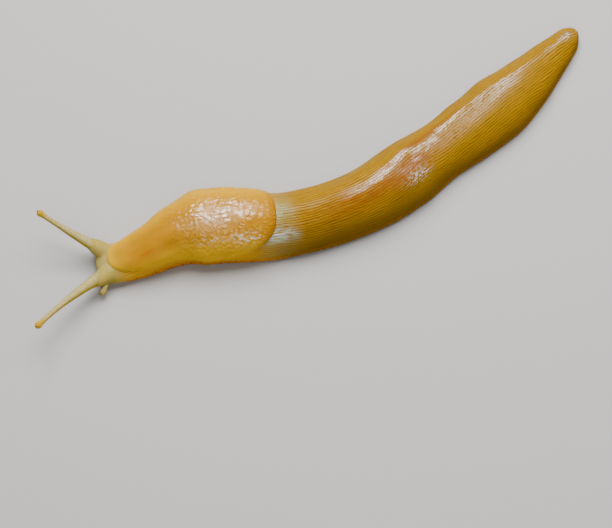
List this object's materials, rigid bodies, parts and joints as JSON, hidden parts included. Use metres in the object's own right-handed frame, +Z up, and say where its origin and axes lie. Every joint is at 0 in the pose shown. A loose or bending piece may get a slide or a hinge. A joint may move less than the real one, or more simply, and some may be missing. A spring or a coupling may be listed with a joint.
{
  "type": "banana slug",
  "caption": "Life-size still model of a crawling banana slug with mantle, keeled tail and eye stalks held out, lying flat on its sole.",
  "frame": {"origin": "on the floor, under the middle of the slug's bounding box", "axes": "+X to the right of the picture and towards the tail, +Y away from the camera, +Z up; the head points to -X and the slug's left side faces -Y"},
  "size_m": [0.1736, 0.1118, 0.017],
  "materials": {
    "skin": "wet, finely grooved",
    "mantle": "wet, smooth",
    "foot": "wet, fringed",
    "feeler": "wet, translucent",
    "eye": "glossy"
  },
  "bodies": {
    "root": {"head": "feeler", "neck": "skin", "trunk_front": "skin", "trunk_middle": "skin", "trunk_rear": "skin", "tail": "skin", "foot_front": "foot", "foot_middle": "foot", "foot_rear": "foot", "foot_tail": "foot", "mantle": "mantle", "eye_stalk_left": "feeler", "feeler_left": "feeler", "eye_left": "eye", "eye_stalk_right": "feeler", "feeler_right": "feeler", "eye_right": "eye"}
  },
  "joints": []
}
